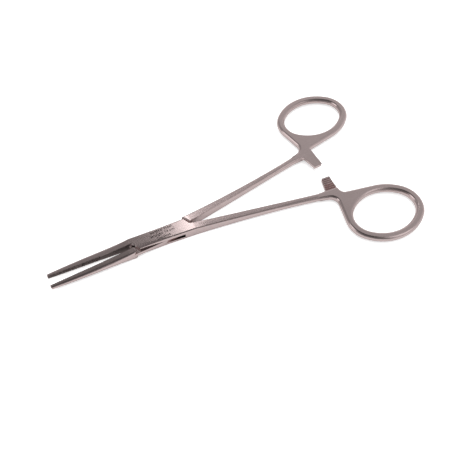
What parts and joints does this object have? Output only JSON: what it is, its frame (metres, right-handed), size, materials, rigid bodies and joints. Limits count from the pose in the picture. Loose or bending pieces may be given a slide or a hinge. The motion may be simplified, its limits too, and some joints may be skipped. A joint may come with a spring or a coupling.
{
  "type": "hemostat forceps",
  "caption": "Straight locking clamp with a box lock, serrated tapering jaws, finger rings and a ratchet between the shanks.",
  "frame": {"origin": "on the lock pin's axis, at the flat underside of the lock, which the forceps rest on", "axes": "+X from the pivot towards the finger rings along the line of symmetry, +Y towards the tongue half's ring, +Z along the lock pin and up from the surface that the forceps lie on"},
  "size_m": [0.1377, 0.0784, 0.0044],
  "materials": {
    "satin_steel": "satin, slightly warm stainless steel"
  },
  "bodies": {
    "box_half": {"box_half": "satin_steel", "lock_pin": "satin_steel"},
    "tongue_half": {"tongue_half": "satin_steel"}
  },
  "joints": [
    {"name": "lock_pivot", "type": "hinge", "parent": "box_half", "child": "tongue_half", "pos_m": [0, 0, 0.0022], "axis": [0, 0, 1], "range_deg": [-4.7, 85]}
  ]
}
